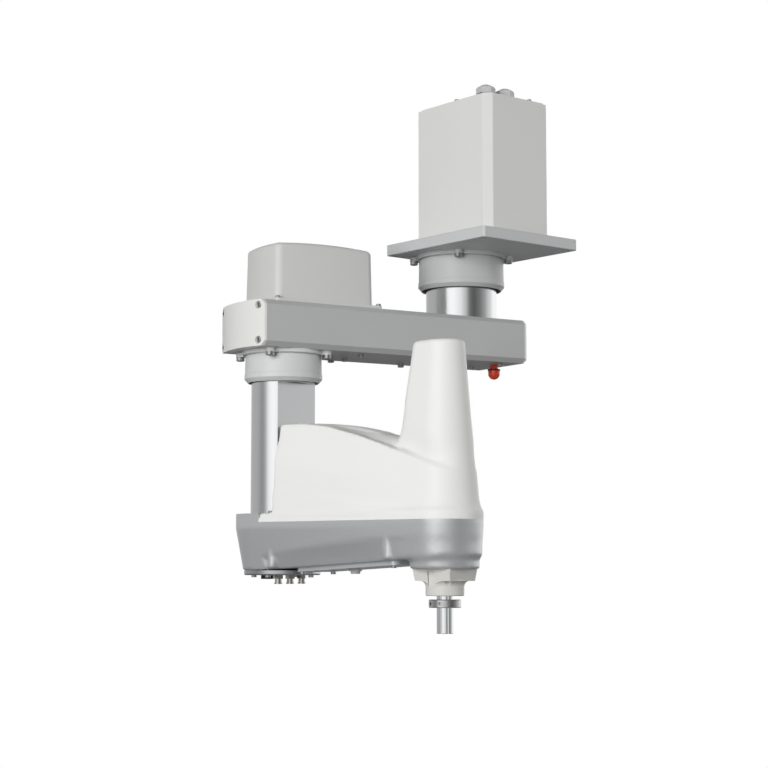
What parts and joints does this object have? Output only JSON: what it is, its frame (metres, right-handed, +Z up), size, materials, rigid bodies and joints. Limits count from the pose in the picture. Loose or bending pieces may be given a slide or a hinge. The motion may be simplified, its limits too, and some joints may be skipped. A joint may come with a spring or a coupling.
{
  "type": "scara robot",
  "caption": "Ceiling-mounted four-axis SCARA robot with two equal arms, a hollow ball-screw spline shaft with stop collar, boxed base with cable glands and a moulded arm cover.",
  "frame": {"origin": "centre of the four ceiling bolts, on the top face of the mounting plate", "axes": "+Z up into the ceiling; +X along the plate's long side, towards the first joint; +Y along its short side"},
  "size_m": [0.3151, 0.3512, 0.585],
  "materials": {
    "plate_aluminium": "milled, clear anodised",
    "base_cover_paint": "fine satin paint",
    "gland_plastic": "moulded nylon",
    "black_rubber": "soft matte",
    "motor_black": "black paint",
    "reducer_steel": "turned",
    "housing_paint": "satin paint over casting",
    "steel_screws": "zinc plated",
    "column_aluminium": "turned and polished",
    "beam_paint": "satin paint over extrusion",
    "cap_paint": "satin off-white paint",
    "motor_cover_plastic": "moulded, fine grain",
    "black_plastic": "moulded",
    "lamp_lens": "moulded, clear coat look",
    "casting_paint": "metallic silver paint",
    "shell_plastic": "moulded, light gloss",
    "bearing_steel": "ground",
    "bracket_aluminium": "milled",
    "belt_rubber": "toothed belt rubber",
    "bushing_plastic": "moulded",
    "disc_aluminium": "turned",
    "fitting_nickel": "nickel plated brass",
    "button_plastic": "moulded",
    "pulley_aluminium": "turned",
    "shaft_steel": "ground and hardened",
    "collar_steel": "turned, plated"
  },
  "bodies": {
    "base": {"base_plate": "plate_aluminium", "base_cover": "base_cover_paint", "base_cover_lid": "base_cover_paint", "base_cover_foot_screws": "steel_screws", "lid_screws": "steel_screws", "cable_glands": "gland_plastic", "gland_seals": "black_rubber", "j1_motor": "motor_black", "j1_reducer": "reducer_steel", "j1_bearing_housing": "housing_paint", "j1_housing_screws": "steel_screws", "j1_seal": "black_rubber"},
    "arm_1": {"j1_column": "column_aluminium", "arm_1_beam": "beam_paint", "distal_end_cap": "cap_paint", "proximal_end_cap": "cap_paint", "end_cap_screws": "steel_screws", "j2_motor_cover": "motor_cover_plastic", "j2_cover_screws": "steel_screws", "j2_motor": "motor_black", "j2_reducer": "reducer_steel", "j2_bearing_housing": "housing_paint", "j2_housing_screws": "steel_screws", "j2_seal": "black_rubber", "beam_belly_screws": "steel_screws", "signal_lamp_base": "black_plastic", "signal_lamp_lens": "lamp_lens"},
    "arm_2": {"j2_column": "column_aluminium", "arm_2_casting": "casting_paint", "arm_2_cover": "shell_plastic", "arm_2_cover_screws": "steel_screws", "arm_2_belly_plate": "casting_paint", "belly_plate_screws": "steel_screws", "spline_nut_bearing": "bearing_steel", "ball_nut_bridge": "bracket_aluminium", "ball_nut_bearing": "bearing_steel", "u_motor_plate": "bracket_aluminium", "u_motor": "motor_black", "z_motor_plate": "bracket_aluminium", "z_motor": "motor_black", "u_belt": "belt_rubber", "z_belt": "belt_rubber", "lower_bushing": "bushing_plastic", "bushing_screws": "steel_screws", "connector_plate": "disc_aluminium", "connector_plate_screws": "steel_screws", "signal_connector": "black_plastic", "air_fittings": "fitting_nickel", "brake_button_bezel": "button_plastic"},
    "spline_nut": {"spline_nut": "bearing_steel", "u_driven_pulley": "pulley_aluminium"},
    "ball_nut": {"ball_nut": "bearing_steel", "z_driven_pulley": "pulley_aluminium"},
    "u_motor_pulley": {"u_motor_pulley": "pulley_aluminium"},
    "z_motor_pulley": {"z_motor_pulley": "pulley_aluminium"},
    "shaft": {"spline_shaft": "shaft_steel", "stop_collar": "collar_steel", "collar_screws": "steel_screws", "shaft_top_stop": "collar_steel"},
    "brake_button": {"brake_button": "button_plastic"}
  },
  "joints": [
    {"name": "j1_rotation", "type": "hinge", "parent": "base", "child": "arm_1", "pos_m": [0.033, 0, 0], "axis": [0, 0, 1], "range_deg": [-307, 143]},
    {"name": "j2_rotation", "type": "hinge", "parent": "arm_1", "child": "arm_2", "pos_m": [0.06431, 0.22281, 0], "axis": [0, 0, 1], "range_deg": [-330.4, 119.6]},
    {"name": "j4_rotation", "type": "hinge", "parent": "arm_2", "child": "spline_nut", "pos_m": [-0.15881, 0.19383, 0], "axis": [0, 0, 1], "range_deg": [-360, 360]},
    {"name": "j3_slide", "type": "slide", "parent": "spline_nut", "child": "shaft", "axis": [0, 0, -1], "range_m": [0, 0.13]},
    {"name": "ball_nut_turn", "type": "hinge", "parent": "arm_2", "child": "ball_nut", "pos_m": [-0.15881, 0.19383, 0], "axis": [0, 0, 1], "range_deg": [-5, 2930]},
    {"name": "z_motor_turn", "type": "hinge", "parent": "arm_2", "child": "z_motor_pulley", "pos_m": [-0.07254, 0.20504, 0], "axis": [0, 0, 1], "range_deg": [-5, 4392.5]},
    {"name": "u_motor_turn", "type": "hinge", "parent": "arm_2", "child": "u_motor_pulley", "pos_m": [-0.01006, 0.21315, 0], "axis": [0, 0, 1], "range_deg": [-720, 720]},
    {"name": "brake_button_press", "type": "slide", "parent": "arm_2", "child": "brake_button", "axis": [0, 0, 1], "range_m": [0, 0.0018], "stiffness_N_per_m": 600, "springref_m": -0.001}
  ],
  "couplings": [
    {"joint": "ball_nut_turn", "follows": "j3_slide", "rad_per_m": 392.7},
    {"joint": "z_motor_turn", "follows": "j3_slide", "rad_per_m": 589.05},
    {"joint": "u_motor_turn", "follows": "j4_rotation", "ratio": 2}
  ]
}
